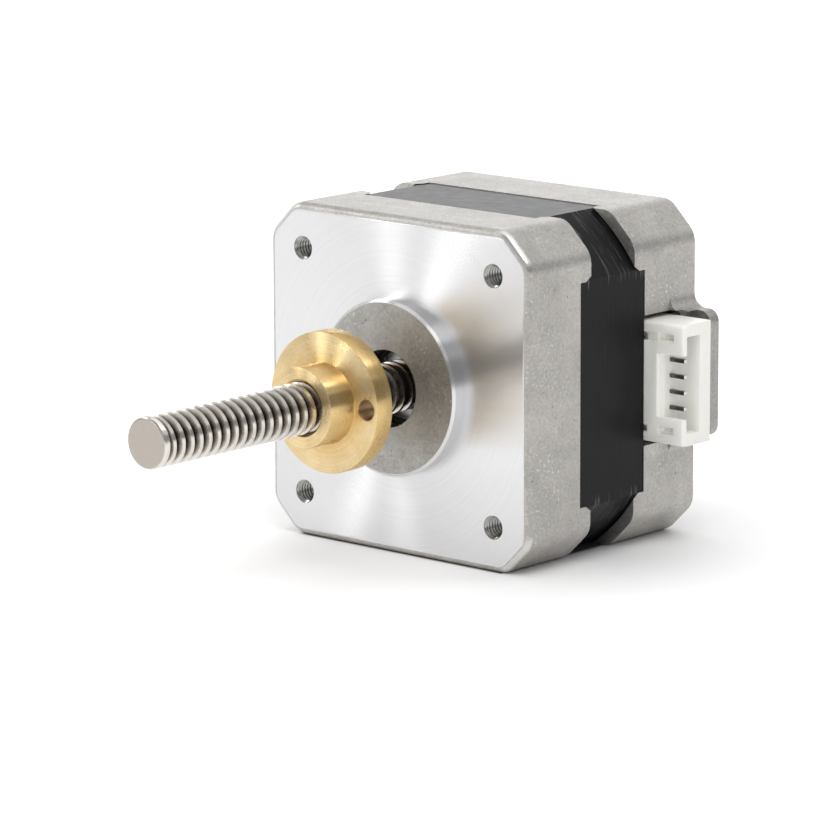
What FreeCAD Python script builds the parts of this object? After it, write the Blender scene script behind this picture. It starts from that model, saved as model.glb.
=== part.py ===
import FreeCAD, Part
import os
import re
from math import cos, pi, sin

import Sketcher

# A 42 mm hybrid stepper motor with a lead screw for a shaft. The axis is Y: the mounting face lies on
# Y = 0, the screw points along -Y, the connector looks along +X and Z is up.

# Driving dimensions in millimetres, angles in degrees and counts as plain numbers.
DIMENSIONS = {
    # Caps and stack
    "body_width": 42.3,
    "front_cap_length": 9.7,
    "stack_length": 12.4,
    "rear_cap_length": 10.9,
    "corner_chamfer": 3.95,
    "corner_round": 2.8,
    "edge_round": 1.0,
    "lip_length": 2.0,
    "lip_wall": 1.8,
    "lead_in": 0.35,
    "lead_in_length": 0.9,
    "cap_wall": 2.15,
    "end_wall": 2.6,
    "stack_inset": 0.1,
    "seat_clearance": 0.02,
    "slip_clearance": 0.1,
    # Mounting face
    "boss_diameter": 22.0,
    "boss_height": 2.0,
    "boss_chamfer": 0.3,
    "boss_bore": 9.6,
    "hole_margin": 5.65,
    "hole_diameter": 3.0,
    "hole_depth": 4.7,
    # Case screws
    "case_screw_start": 5.2,
    "core_diameter": 2.5,
    "thread_play": 0.05,
    "screw_hole_diameter": 3.4,
    "head_diameter": 5.5,
    "head_height": 2.0,
    "head_play": 0.3,
    "head_sink": 2.2,
    # Bearings
    "bearing_bore": 5.0,
    "bearing_diameter": 16.0,
    "bearing_width": 5.0,
    "front_seat_level": 1.0,
    "hub_wall": 2.0,
    "rear_floor": 2.4,
    "washer_height": 0.6,
    "washer_thickness": 0.2,
    "washer_waves": 3,
    "washer_play": 0.3,
    "race_wall": 1.75,
    # Stator and rotor
    "stator_depth": 10.1,
    "air_gap": 0.1,
    "pole_count": 8,
    "pole_width": 4.5,
    "pole_teeth": 6,
    "shoe_span": 39.4,
    "shoe_thickness": 1.1,
    "shoe_slope": 1.0,
    "yoke_thickness": 3.55,
    "rotor_teeth": 50,
    "tooth_depth": 0.6,
    "tooth_gap": 0.75,
    "rotor_length": 12.0,
    "magnet_thickness": 2.0,
    "magnet_inset": 1.2,
    "spacer_diameter": 7.6,
    # Windings
    "insulator_thickness": 0.8,
    "insulator_cover": 0.35,
    "insulator_lap": 0.6,
    "insulator_sides": 16,
    "flange_wall": 0.8,
    "flange_width": 7.0,
    "flange_height": 3.4,
    "coil_gap": 0.47,
    "coil_end": 2.2,
    "coil_chamfer": 0.8,
    # Connector and board
    "pin_count": 6,
    "pin_pitch": 2.0,
    "pin_size": 0.5,
    "pin_reach": 4.85,
    "pin_setback": 0.5,
    "pin_tail_length": 0.6,
    "pin_drop": 0.25,
    "connector_depth": 5.4,
    "connector_reach": 6.0,
    "connector_root": 1.9,
    "connector_floor": 2.5,
    "connector_wall": 0.75,
    "connector_end_wall": 1.5,
    "connector_rear_wall": 2.1,
    "connector_end_margin": 2.6,
    "key_width": 8.0,
    "key_level": 1.85,
    "window_width": 1.0,
    "window_length": 2.4,
    "window_level": 2.1,
    "window_offset": 5.9,
    "board_thickness": 1.0,
    "board_angle": 120.0,
    "board_play": 0.4,
    "tongue_reach": 1.5,
    "tongue_lap": 6.5,
    "notch_play": 0.6,
    "notch_cut": 4.0,
    "notch_round": 1.5,
    "tab_width": 16.0,
    "tab_reach": 3.85,
    "tab_thickness": 2.8,
    "tab_corner": 1.5,
    "tab_flare": 1.8,
    "flare_length": 5.9,
    # Lead screw and nut
    "thread_diameter": 6.35,
    "screw_reach": 44.0,
    "tip_chamfer": 0.2,
    "tail_play": 0.4,
    "nut_play": 0.06,
    "nut_level": 10.6,
    "nut_flange_diameter": 17.4,
    "nut_flange_thickness": 2.75,
    "nut_hub_diameter": 10.0,
    "nut_hub_length": 4.15,
    "nut_hole_diameter": 2.5,
    "nut_hole_circle": 13.7,
    "nut_chamfer": 0.1,
}

# Levels along the axis and radii that several pieces share, as formulas of the driving dimensions.
STACK_FRONT = "front_cap_length"
STACK_REAR = "(front_cap_length + stack_length)"
BODY_REAR = "(front_cap_length + stack_length + rear_cap_length)"
HALF_WIDTH = "(body_width / 2)"
HOLE_OFFSET = "(body_width / 2 - hole_margin)"
REGISTER_RADIUS = "((body_width - corner_chamfer) / sqrt(2) - lip_wall)"
CAVITY_RADIUS = "(body_width / 2 - cap_wall)"
HUB_RADIUS = "(bearing_diameter / 2 + hub_wall)"
FRONT_BEARING = "front_seat_level"
FRONT_BEARING_REAR = "(front_seat_level + bearing_width)"
REAR_FLOOR = f"({BODY_REAR} - rear_floor)"
REAR_BEARING_REAR = f"({REAR_FLOOR} - washer_height)"
REAR_BEARING = f"({REAR_BEARING_REAR} - bearing_width)"
ROTOR_FRONT = "(front_cap_length + (stack_length - rotor_length) / 2)"
MAGNET_FRONT = f"({ROTOR_FRONT} + (rotor_length - magnet_thickness) / 2)"
MAGNET_REAR = f"({MAGNET_FRONT} + magnet_thickness)"
ROTOR_REAR = f"({ROTOR_FRONT} + rotor_length)"
BORE_RADIUS = "(body_width / 2 - stator_depth)"
ROTOR_RADIUS = f"({BORE_RADIUS} - air_gap)"
INNER_RACE_RADIUS = "(bearing_bore / 2 + race_wall)"
OUTER_RACE_RADIUS = "(bearing_diameter / 2 - race_wall)"
YOKE_RADIUS = "(body_width / 2 - stack_inset - yoke_thickness)"
NECK_START = f"({BORE_RADIUS} + shoe_thickness + shoe_slope)"
COIL_INNER = f"({NECK_START} + slip_clearance)"
COIL_HALF = "(pole_width / 2 + insulator_cover + seat_clearance)"
COIL_OUTER_HALF = f"({COIL_INNER} * tan(180deg / pole_count) - coil_gap)"
COIL_OUTER = f"(sqrt(pow({YOKE_RADIUS}; 2) - pow({COIL_OUTER_HALF}; 2)) - slip_clearance)"
BOARD_FRONT = f"({STACK_REAR} + slip_clearance + connector_depth)"
BOARD_REAR = f"({BOARD_FRONT} + board_thickness)"
CONNECTOR_LENGTH = "((pin_count - 1) * pin_pitch + 2 * connector_end_margin)"
CONNECTOR_FRONT = f"({STACK_REAR} + slip_clearance)"
CONNECTOR_ROOT = f"({HALF_WIDTH} - connector_root)"
CONNECTOR_MOUTH = f"({HALF_WIDTH} + connector_reach)"
CONNECTOR_FLOOR = f"({HALF_WIDTH} + connector_floor)"
PIN_LEVEL = f"({CONNECTOR_FRONT} + (connector_wall + connector_depth - connector_rear_wall) / 2)"
PIN_TAIL = f"({CONNECTOR_ROOT} + pin_setback)"
PIN_TAIL_END = f"({BOARD_REAR} + pin_tail_length)"
LOWEST_PIN = "(-(pin_count - 1) * pin_pitch / 2 - pin_drop - pin_size / 2)"
TOOTH_ANGLE = "(360 / rotor_teeth)"
TAB_FLARE = "min(tab_flare; tab_reach - tab_corner - slip_clearance)"
TAB_ROOT = f"({HALF_WIDTH} + {TAB_FLARE})"
TAB_WIDE = f"(tab_width / 2 + {TAB_FLARE})"

doc = FreeCAD.newDocument("LeadScrewMotor")
sheet = doc.addObject("Spreadsheet::Sheet", "Dims")
for row, (alias, number) in enumerate(DIMENSIONS.items(), start=1):
    sheet.set(f"A{row}", alias)
    sheet.set(f"B{row}", str(number))
    sheet.setAlias(f"B{row}", alias)
doc.recompute()

DIMENSION_NAME = re.compile(r"\b(" + "|".join(DIMENSIONS) + r")\b")
SAME = 1e-4
STEPS_PER_WAVE = 8
pieces = []


def expression(formula):
    """The formula with each dimension's name pointing at its cell."""
    return DIMENSION_NAME.sub(r"Dims.\1", formula)


def value(formula):
    """The formula's present value in millimetres."""
    return float(sheet.evalExpression(expression(formula)))


def bind(target, prop, formula):
    target.setExpression(prop, expression(formula))


def new_body(label):
    """A sub-part of its own, whose label also names its file."""
    body = doc.addObject("PartDesign::Body", label)
    body.Label = label
    pieces.append(body)
    return body


def origin_feature(body, role):
    return next(feature for feature in body.Origin.OriginFeatures if feature.Role == role)


def new_sketch(body, name, plane, level="0"):
    """A sketch on one of the body's origin planes, moved along that plane's normal."""
    sketch = body.newObject("Sketcher::SketchObject", name)
    sketch.AttachmentSupport = [(origin_feature(body, plane), "")]
    sketch.MapMode = "FlatFace"
    bind(sketch, "AttachmentOffset.Base.z", level)
    return sketch


def constrain(sketch, kind, element, point, formula):
    index = sketch.addConstraint(Sketcher.Constraint(kind, element, point, value(formula)))
    bind(sketch, f"Constraints[{index}]", formula)


def outline(sketch, corners):
    """A closed outline of corners, each a pair of formulas, or four where an arc about the last two
    follows the corner."""
    first = sketch.GeometryCount
    count = len(corners)
    places = [FreeCAD.Vector(value(corner[0]), value(corner[1]), 0) for corner in corners]
    ends = []
    for number, corner in enumerate(corners):
        start, end = places[number], places[(number + 1) % count]
        if len(corner) == 2:
            sketch.addGeometry(Part.LineSegment(start, end))
            ends.append((1, 2))
            continue
        centre = FreeCAD.Vector(value(corner[2]), value(corner[3]), 0)
        anticlockwise = (start - centre).cross(end - centre).z > 0
        near, far = (start, end) if anticlockwise else (end, start)
        ends.append((1, 2) if anticlockwise else (2, 1))
        ring = Part.Circle(centre, FreeCAD.Vector(0, 0, 1), (start - centre).Length)
        sketch.addGeometry(Part.ArcOfCircle(ring, ring.parameter(near), ring.parameter(far)))
    for number in range(count):
        following = (number + 1) % count
        sketch.addConstraint(Sketcher.Constraint(
            "Coincident", first + number, ends[number][1], first + following, ends[following][0]))
    for number, corner in enumerate(corners):
        constrain(sketch, "DistanceX", first + number, ends[number][0], corner[0])
        constrain(sketch, "DistanceY", first + number, ends[number][0], corner[1])
        if len(corner) == 4:
            reach = f"sqrt(pow({corner[0]} - ({corner[2]}); 2) + pow({corner[1]} - ({corner[3]}); 2))"
            index = sketch.addConstraint(Sketcher.Constraint("Radius", first + number, value(reach)))
            bind(sketch, f"Constraints[{index}]", reach)


def rectangle(sketch, left, right, low, high):
    outline(sketch, [(left, low), (right, low), (right, high), (left, high)])


def circle(sketch, radius, across="0", up="0"):
    centre = FreeCAD.Vector(value(across), value(up), 0)
    element = sketch.addGeometry(Part.Circle(centre, FreeCAD.Vector(0, 0, 1), value(radius)))
    constrain(sketch, "DistanceX", element, 3, across)
    constrain(sketch, "DistanceY", element, 3, up)
    index = sketch.addConstraint(Sketcher.Constraint("Radius", element, value(radius)))
    bind(sketch, f"Constraints[{index}]", radius)


def pad(body, name, front, rear, draw):
    """Adds what draw outlines across the axis, from the level front to the level rear."""
    sketch = new_sketch(body, name + "_outline", "XZ_Plane", f"-({rear})")
    draw(sketch)
    feature = body.newObject("PartDesign::Pad", name)
    feature.Profile = sketch
    bind(feature, "Length", f"{rear} - ({front})")
    return feature


def pocket(body, name, front, rear, draw):
    """Cuts what draw outlines across the axis, from the level front to the level rear."""
    sketch = new_sketch(body, name + "_outline", "XZ_Plane", f"-({front})")
    draw(sketch)
    feature = body.newObject("PartDesign::Pocket", name)
    feature.Profile = sketch
    bind(feature, "Length", f"{rear} - ({front})")
    return feature


def turned(body, name, corners, kind="Revolution"):
    """Turns an outline of (radius, level) corners about the axis, to add it or, as a Groove, to cut it."""
    sketch = new_sketch(body, name + "_outline", "XY_Plane")
    outline(sketch, corners)
    feature = body.newObject(f"PartDesign::{kind}", name)
    feature.Profile = sketch
    feature.ReferenceAxis = (sketch, ["V_Axis"])
    feature.Angle = 360
    return feature


def polar(body, name, originals, count):
    """Repeats features evenly about the axis."""
    feature = body.newObject("PartDesign::PolarPattern", name)
    feature.Originals = originals
    feature.Axis = (origin_feature(body, "Y_Axis"), [""])
    feature.Angle = 360
    bind(feature, "Occurrences", count)
    body.Tip = feature
    return feature


def row_along_z(body, name, originals, count, pitch):
    """Repeats features upwards at a pitch."""
    feature = body.newObject("PartDesign::LinearPattern", name)
    feature.Originals = originals
    feature.Direction = (origin_feature(body, "Z_Axis"), [""])
    feature.Mode = "Spacing"
    bind(feature, "Offset", pitch)
    bind(feature, "Occurrences", count)
    body.Tip = feature
    return feature


def soften(body, name, kind, prop, size, wanted):
    """Fillets or chamfers the edges of the body's tip that wanted picks."""
    doc.recompute()
    base = body.Tip
    edges = [f"Edge{number}" for number, edge in enumerate(base.Shape.Edges, start=1) if wanted(edge)]
    feature = body.newObject(f"PartDesign::{kind}", name)
    feature.Base = (base, edges)
    bind(feature, prop, size)
    doc.recompute()
    return feature


def along_axis(edge):
    """Whether a straight edge runs along the axis."""
    start, end = edge.Vertexes[0].Point, edge.Vertexes[-1].Point
    return abs(start.x - end.x) < SAME and abs(start.z - end.z) < SAME and abs(start.y - end.y) > SAME


def on_level(level):
    """A test for edges that lie whole in one plane across the axis."""
    height = value(level)

    def test(edge):
        return abs(edge.BoundBox.YMin - height) < SAME and abs(edge.BoundBox.YMax - height) < SAME

    return test


def rotated(radius, offset, angle):
    """A corner at a radius and a sideways offset, turned by an angle about the axis."""
    across = f"({radius}) * cos({angle} * 1deg) - ({offset}) * sin({angle} * 1deg)"
    up = f"({radius}) * sin({angle} * 1deg) + ({offset}) * cos({angle} * 1deg)"
    return across, up


def draw_cap_outline(sketch):
    """The caps' square with chamfered corners."""
    half = HALF_WIDTH
    inner = f"({half} - corner_chamfer)"
    outline(sketch, [
        (f"-{half}", f"-{inner}"), (f"-{inner}", f"-{half}"), (inner, f"-{half}"), (half, f"-{inner}"),
        (half, inner), (inner, half), (f"-{inner}", half), (f"-{half}", inner),
    ])


def draw_corner_circles(radius):
    """Four circles on the square of mounting holes."""
    def draw(sketch):
        for across in (f"-{HOLE_OFFSET}", HOLE_OFFSET):
            for up in (f"-{HOLE_OFFSET}", HOLE_OFFSET):
                circle(sketch, radius, across, up)

    return draw


def cut_register(body, front, rear, lip_end, inward):
    """The bore that the corner lips leave for the stack, with a lead-in at the ends of the lips."""
    register = f"({REGISTER_RADIUS} + seat_clearance)"
    pocket(body, "register", front, rear, lambda s: circle(s, register))
    taper = f"({lip_end} + ({inward}) * lead_in_length)"
    inside = f"({register} - lead_in)"
    turned(body, "lead_in_taper", [
        (inside, taper), (register, taper), (f"({register} + lead_in)", lip_end), (inside, lip_end),
    ], "Groove")


def build_front_cap():
    body = new_body("front_cap")
    lip_end = f"({STACK_FRONT} + lip_length)"
    pad(body, "shell", "0", lip_end, draw_cap_outline)
    soften(body, "corner_rounds", "Fillet", "Radius", "corner_round", along_axis)
    soften(body, "face_edge", "Fillet", "Radius", "edge_round", on_level("0"))
    pad(body, "boss", "-boss_height", "edge_round", lambda s: circle(s, "boss_diameter / 2"))
    soften(body, "boss_edge", "Chamfer", "Size", "boss_chamfer", on_level("-boss_height"))
    cut_register(body, STACK_FRONT, lip_end, lip_end, "-1")
    pocket(body, "cavity", "end_wall", STACK_FRONT, lambda s: circle(s, CAVITY_RADIUS))
    pad(body, "hub", "end_wall", FRONT_BEARING_REAR, lambda s: circle(s, HUB_RADIUS))
    seat = "bearing_diameter / 2 + seat_clearance"
    pocket(body, "bearing_seat", FRONT_BEARING, FRONT_BEARING_REAR, lambda s: circle(s, seat))
    pocket(body, "screw_bore", "-boss_height", FRONT_BEARING, lambda s: circle(s, "boss_bore / 2"))
    pocket(body, "mounting_holes", "0", "hole_depth", draw_corner_circles("hole_diameter / 2"))
    pocket(body, "case_screw_holes", "hole_depth", lip_end,
           draw_corner_circles("core_diameter / 2 + thread_play"))


def draw_tab(sketch):
    """The tab behind the connector, with rounded outer corners and flares at its root."""
    end = f"({HALF_WIDTH} + tab_reach)"
    half = "(tab_width / 2)"
    corner = f"({end} - tab_corner)"
    side = f"({half} - tab_corner)"
    outline(sketch, [
        (CAVITY_RADIUS, f"-{TAB_WIDE}"), (HALF_WIDTH, f"-{TAB_WIDE}", TAB_ROOT, f"-{TAB_WIDE}"),
        (TAB_ROOT, f"-{half}"),
        (corner, f"-{half}", corner, f"-{side}"), (end, f"-{side}"), (end, side, corner, side),
        (corner, half), (TAB_ROOT, half, TAB_ROOT, TAB_WIDE), (HALF_WIDTH, TAB_WIDE),
        (CAVITY_RADIUS, TAB_WIDE),
    ])


def draw_flares(sketch):
    """The flares alone, which run further forward than the tab."""
    for side in ("1", "-1"):
        half = f"({side} * tab_width / 2)"
        wide = f"({side} * {TAB_WIDE})"
        outline(sketch, [
            (CAVITY_RADIUS, half), (TAB_ROOT, half, TAB_ROOT, wide), (HALF_WIDTH, wide),
            (CAVITY_RADIUS, wide),
        ])


def build_rear_cap():
    body = new_body("rear_cap")
    lip_start = f"({STACK_REAR} - lip_length)"
    pad(body, "shell", lip_start, BODY_REAR, draw_cap_outline)
    soften(body, "corner_rounds", "Fillet", "Radius", "corner_round", along_axis)
    tab_front = f"({BODY_REAR} - tab_thickness)"
    pad(body, "tab", tab_front, BODY_REAR, draw_tab)
    pad(body, "flares", f"({BODY_REAR} - flare_length)", tab_front, draw_flares)
    soften(body, "rear_edge", "Chamfer", "Size", "edge_round", on_level(BODY_REAR))
    cut_register(body, lip_start, STACK_REAR, lip_start, "1")
    cavity_end = f"({BODY_REAR} - end_wall)"
    pocket(body, "cavity", STACK_REAR, cavity_end, lambda s: circle(s, CAVITY_RADIUS))
    pad(body, "hub", REAR_BEARING, cavity_end, lambda s: circle(s, HUB_RADIUS))
    seat = "bearing_diameter / 2 + seat_clearance"
    pocket(body, "bearing_seat", REAR_BEARING, REAR_FLOOR, lambda s: circle(s, seat))
    pocket(body, "case_screw_holes", lip_start, BODY_REAR,
           draw_corner_circles("screw_hole_diameter / 2"))
    head_floor = f"({BODY_REAR} - head_sink)"
    pocket(body, "head_recesses", head_floor, BODY_REAR,
           draw_corner_circles("head_diameter / 2 + head_play"))

    notch_half = f"({CONNECTOR_LENGTH} / 2 + notch_play)"
    notch_rear = f"({PIN_TAIL_END} + slip_clearance)"
    notch_outside = f"({HALF_WIDTH} + tab_reach)"
    sketch = new_sketch(body, "connector_notch_outline", "YZ_Plane", notch_outside)
    rectangle(sketch, STACK_REAR, notch_rear, f"-{notch_half}", notch_half)
    notch = body.newObject("PartDesign::Pocket", "connector_notch")
    notch.Profile = sketch
    bind(notch, "Length", f"{notch_outside} - {CAVITY_RADIUS} + notch_cut")
    level = value(notch_rear)
    height = value(notch_half)

    def notch_corner(edge):
        box = edge.BoundBox
        straight = box.YLength < SAME and box.ZLength < SAME and abs(box.YMin - level) < SAME
        return straight and abs(abs(box.ZMin) - height) < SAME

    soften(body, "notch_corners", "Fillet", "Radius", "notch_round", notch_corner)


def build_stator_stack():
    body = new_body("stator_stack")
    half = f"({HALF_WIDTH} - stack_inset)"
    pad(body, "plates", STACK_FRONT, STACK_REAR,
        lambda s: rectangle(s, f"-{half}", half, f"-{half}", half))

    def draw_outside_register(sketch):
        circle(sketch, "body_width")
        circle(sketch, REGISTER_RADIUS)

    pocket(body, "corner_arcs", STACK_FRONT, STACK_REAR, draw_outside_register)
    pocket(body, "slots", STACK_FRONT, STACK_REAR, lambda s: circle(s, YOKE_RADIUS))
    tip_radius = f"({BORE_RADIUS} + shoe_thickness)"
    neck = "(pole_width / 2)"
    into_yoke = f"({YOKE_RADIUS} + yoke_thickness / 2)"

    def draw_pole(sketch):
        inside = rotated(f"{BORE_RADIUS} / 2", "0", "(shoe_span / 2)")
        tip = rotated(tip_radius, "0", "(shoe_span / 2)")
        upper = [inside, tip, (NECK_START, neck), (into_yoke, neck)]
        lower = [(across, f"-({up})") for across, up in reversed(upper)]
        outline(sketch, upper + lower)

    pole = pad(body, "pole", STACK_FRONT, STACK_REAR, draw_pole)
    polar(body, "poles", [pole], "pole_count")
    pocket(body, "bore", STACK_FRONT, STACK_REAR, lambda s: circle(s, BORE_RADIUS))
    gap_floor = f"({BORE_RADIUS} + tooth_depth)"
    gaps = int(value("pole_teeth")) - 1

    def draw_tooth_gaps(sketch):
        for number in range(gaps):
            angle = f"({number - (gaps - 1) / 2} * {TOOTH_ANGLE})"
            start = f"({BORE_RADIUS} - tooth_depth)"
            outline(sketch, [
                rotated(start, "-tooth_gap / 2", angle), rotated(gap_floor, "-tooth_gap / 2", angle),
                rotated(gap_floor, "tooth_gap / 2", angle), rotated(start, "tooth_gap / 2", angle),
            ])

    tooth_gaps = pocket(body, "tooth_gaps", STACK_FRONT, STACK_REAR, draw_tooth_gaps)
    polar(body, "stator_teeth", [tooth_gaps], "pole_count")
    pocket(body, "case_screw_holes", STACK_FRONT, STACK_REAR,
           draw_corner_circles("screw_hole_diameter / 2"))


def build_insulator(label, face, outward, outer_flange_height):
    """An end insulator: a many-sided ring and an arm over each pole, with flanges that hold the coil."""
    body = new_body(label)

    def span(height):
        far = f"({face} + ({outward}) * ({height}))"
        return (face, far) if outward == "1" else (far, face)

    arm_half = "(pole_width / 2 + insulator_cover)"
    ring_inner = f"({YOKE_RADIUS} / cos(180deg / insulator_sides))"
    arm_end = f"({YOKE_RADIUS} + insulator_lap)"
    ring_outer = f"({CAVITY_RADIUS} - slip_clearance)"

    def draw_ring(sketch):
        sides = int(value("insulator_sides"))
        turns = [f"({number} * 360 / insulator_sides)" for number in range(sides)]
        outline(sketch, [rotated(ring_outer, "0", turn) for turn in turns])
        outline(sketch, [rotated(ring_inner, "0", turn) for turn in turns])

    pad(body, "ring", *span("insulator_thickness"), draw_ring)
    inner_wall = f"({COIL_INNER} - slip_clearance - flange_wall)"
    outer_wall = f"({COIL_OUTER} + slip_clearance)"
    arm = pad(body, "arm", *span("insulator_thickness"),
              lambda s: rectangle(s, inner_wall, arm_end, f"-{arm_half}", arm_half))
    flange = "(flange_width / 2)"
    inner = pad(body, "inner_flange", *span("flange_height"),
                lambda s: rectangle(s, inner_wall, f"({inner_wall} + flange_wall)", f"-{flange}", flange))
    outer = pad(body, "outer_flange", *span(outer_flange_height),
                lambda s: rectangle(s, outer_wall, f"({outer_wall} + flange_wall)", f"-{flange}", flange))
    polar(body, "arms", [arm, inner, outer], "pole_count")


def build_coils(label, pole):
    """One phase: a coil on every second pole, wound over the insulators' arms."""
    body = new_body(label)
    sketch = body.newObject("Sketcher::SketchObject", "winding_outline")
    sketch.AttachmentSupport = [(origin_feature(body, "YZ_Plane"), "")]
    sketch.MapMode = "FlatFace"
    bind(sketch, "AttachmentOffset.Base.z", COIL_INNER)
    front = f"({STACK_FRONT} - insulator_thickness)"
    rear = f"({STACK_REAR} + insulator_thickness)"
    rectangle(sketch, f"({front} - coil_end)", f"({rear} + coil_end)",
              f"-{COIL_OUTER_HALF}", COIL_OUTER_HALF)
    rectangle(sketch, front, rear, f"-{COIL_HALF}", COIL_HALF)
    winding = body.newObject("PartDesign::Pad", "winding")
    winding.Profile = sketch
    bind(winding, "Length", f"{COIL_OUTER} - {COIL_INNER}")
    half = value(COIL_OUTER_HALF)

    def outer_corner(edge):
        box = edge.BoundBox
        across = box.YLength < SAME and box.ZLength < SAME
        return across and abs(abs(box.ZMin) - half) < SAME

    corners = soften(body, "winding_corners", "Chamfer", "Size", "coil_chamfer", outer_corner)
    polar(body, "windings", [winding, corners], "pole_count / 2")
    turn = FreeCAD.Rotation(FreeCAD.Vector(0, 1, 0), -360 * pole / value("pole_count"))
    body.Placement = FreeCAD.Placement(FreeCAD.Vector(0, 0, 0), turn)


def build_case_screws():
    body = new_body("case_screws")
    shank = "(core_diameter / 2)"
    seat = f"({BODY_REAR} - head_sink)"
    pad(body, "shanks", "case_screw_start", f"({seat} + head_height / 2)", draw_corner_circles(shank))
    pad(body, "heads", seat, f"({seat} + head_height)", draw_corner_circles("head_diameter / 2"))


def build_bearing(side, front):
    """A shielded bearing: an inner ring that turns in the outer ring and its shields."""
    rear = f"({front} + bearing_width)"
    outer_radius = "(bearing_diameter / 2)"
    inner_radius = "(bearing_bore / 2 + seat_clearance)"
    shield_radius = f"({INNER_RACE_RADIUS} + slip_clearance)"
    outer = new_body(f"{side}_bearing_outer_ring")
    turned(outer, "ring", [
        (shield_radius, front), (outer_radius, front), (outer_radius, rear), (shield_radius, rear),
    ])
    inner = new_body(f"{side}_bearing_inner_ring")
    turned(inner, "ring", [
        (inner_radius, front), (INNER_RACE_RADIUS, front), (INNER_RACE_RADIUS, rear), (inner_radius, rear),
    ])


def build_wave_washer():
    """A ring that waves between the rear bearing and the floor of its seat."""
    outer = value("bearing_diameter / 2 - washer_play")
    inner = value(f"{OUTER_RACE_RADIUS} + slip_clearance")
    middle = value(f"{REAR_FLOOR} - washer_height / 2")
    swing = value("(washer_height - washer_thickness) / 2 - seat_clearance")
    waves = int(value("washer_waves"))
    steps = STEPS_PER_WAVE * waves

    def edge(radius, offset):
        places = []
        for step in range(steps):
            angle = 2 * pi * step / steps
            height = middle + offset + swing * cos(waves * angle)
            places.append(FreeCAD.Vector(radius * cos(angle), height, radius * sin(angle)))
        curve = Part.BSplineCurve()
        curve.interpolate(Points=places, PeriodicFlag=True)
        return curve.toShape()

    half = value("washer_thickness / 2")
    front_inner, front_outer = edge(inner, -half), edge(outer, -half)
    rear_inner, rear_outer = edge(inner, half), edge(outer, half)
    faces = [
        Part.makeRuledSurface(front_inner, front_outer), Part.makeRuledSurface(front_outer, rear_outer),
        Part.makeRuledSurface(rear_outer, rear_inner), Part.makeRuledSurface(rear_inner, front_inner),
    ]
    shell = Part.Shell(faces)
    shell.sewShape()
    solid = Part.Solid(shell)
    if solid.Volume < 0:
        solid.reverse()
    washer = doc.addObject("Part::Feature", "wave_washer")
    washer.Label = "wave_washer"
    washer.Shape = solid
    washer.Placement = FreeCAD.Placement()
    pieces.append(washer)


def build_lead_screw():
    body = new_body("lead_screw")
    radius = "(thread_diameter / 2)"
    journal = "(bearing_bore / 2)"
    tail = f"({REAR_FLOOR} - tail_play)"
    turned(body, "shaft", [
        ("0", "-screw_reach"), (f"({radius} - tip_chamfer)", "-screw_reach"),
        (radius, "(-screw_reach + tip_chamfer)"), (radius, FRONT_BEARING), (journal, FRONT_BEARING),
        (journal, f"({tail} - tip_chamfer)"), (f"({journal} - tip_chamfer)", tail), ("0", tail),
    ])


def build_rotor_cup(label, front, rear, shift):
    """A toothed cup pressed on the shaft, turned by a share of one tooth."""
    body = new_body(label)

    def draw_disc(sketch):
        circle(sketch, ROTOR_RADIUS)
        circle(sketch, "bearing_bore / 2 + seat_clearance")

    pad(body, "disc", front, rear, draw_disc)
    angle = f"({shift} * {TOOTH_ANGLE})"
    floor = f"({ROTOR_RADIUS} - tooth_depth)"
    outside = f"({ROTOR_RADIUS} + tooth_depth)"
    gap = pocket(body, "tooth_gap", front, rear, lambda s: outline(s, [
        rotated(floor, "-tooth_gap / 2", angle), rotated(outside, "-tooth_gap / 2", angle),
        rotated(outside, "tooth_gap / 2", angle), rotated(floor, "tooth_gap / 2", angle),
    ]))
    polar(body, "tooth_gaps", [gap], "rotor_teeth")


def build_sleeve(label, front, rear, outer):
    """A plain ring on the shaft."""
    body = new_body(label)
    inner = "(bearing_bore / 2 + seat_clearance)"
    turned(body, "sleeve", [(inner, front), (outer, front), (outer, rear), (inner, rear)])


def build_lead_nut():
    body = new_body("lead_nut")
    bore = "(thread_diameter / 2 + nut_play)"
    flange = "(nut_flange_diameter / 2)"
    hub = "(nut_hub_diameter / 2)"
    rear = "(-nut_level)"
    front = f"({rear} - nut_flange_thickness)"
    tip = f"({front} - nut_hub_length)"
    turned(body, "turned_nut", [
        (bore, rear), (flange, rear), (flange, f"({front} + nut_chamfer)"),
        (f"({flange} - nut_chamfer)", front), (hub, front), (hub, f"({tip} + nut_chamfer)"),
        (f"({hub} - nut_chamfer)", tip), (bore, tip),
    ])

    def draw_holes(sketch):
        for across in ("-nut_hole_circle / 2", "nut_hole_circle / 2"):
            circle(sketch, "nut_hole_diameter / 2", across)

    pocket(body, "screw_holes", front, rear, draw_holes)


def draw_pin(sketch):
    """A right-angle pin: a contact leg along X and a tail leg that goes back through the board."""
    near = f"({PIN_LEVEL} - pin_size / 2)"
    far = f"({PIN_LEVEL} + pin_size / 2)"
    tip = f"({HALF_WIDTH} + pin_reach)"
    tail_far = f"({PIN_TAIL} + pin_size)"
    outline(sketch, [
        (PIN_TAIL, near), (tip, near), (tip, far), (tail_far, far), (tail_far, PIN_TAIL_END),
        (PIN_TAIL, PIN_TAIL_END),
    ])


def build_connector_pins():
    body = new_body("connector_pins")
    sketch = new_sketch(body, "pin_outline", "XY_Plane", LOWEST_PIN)
    draw_pin(sketch)
    pin = body.newObject("PartDesign::Pad", "pin")
    pin.Profile = sketch
    bind(pin, "Length", "pin_size")
    row_along_z(body, "pin_row", [pin], "pin_count", "pin_pitch")


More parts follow.
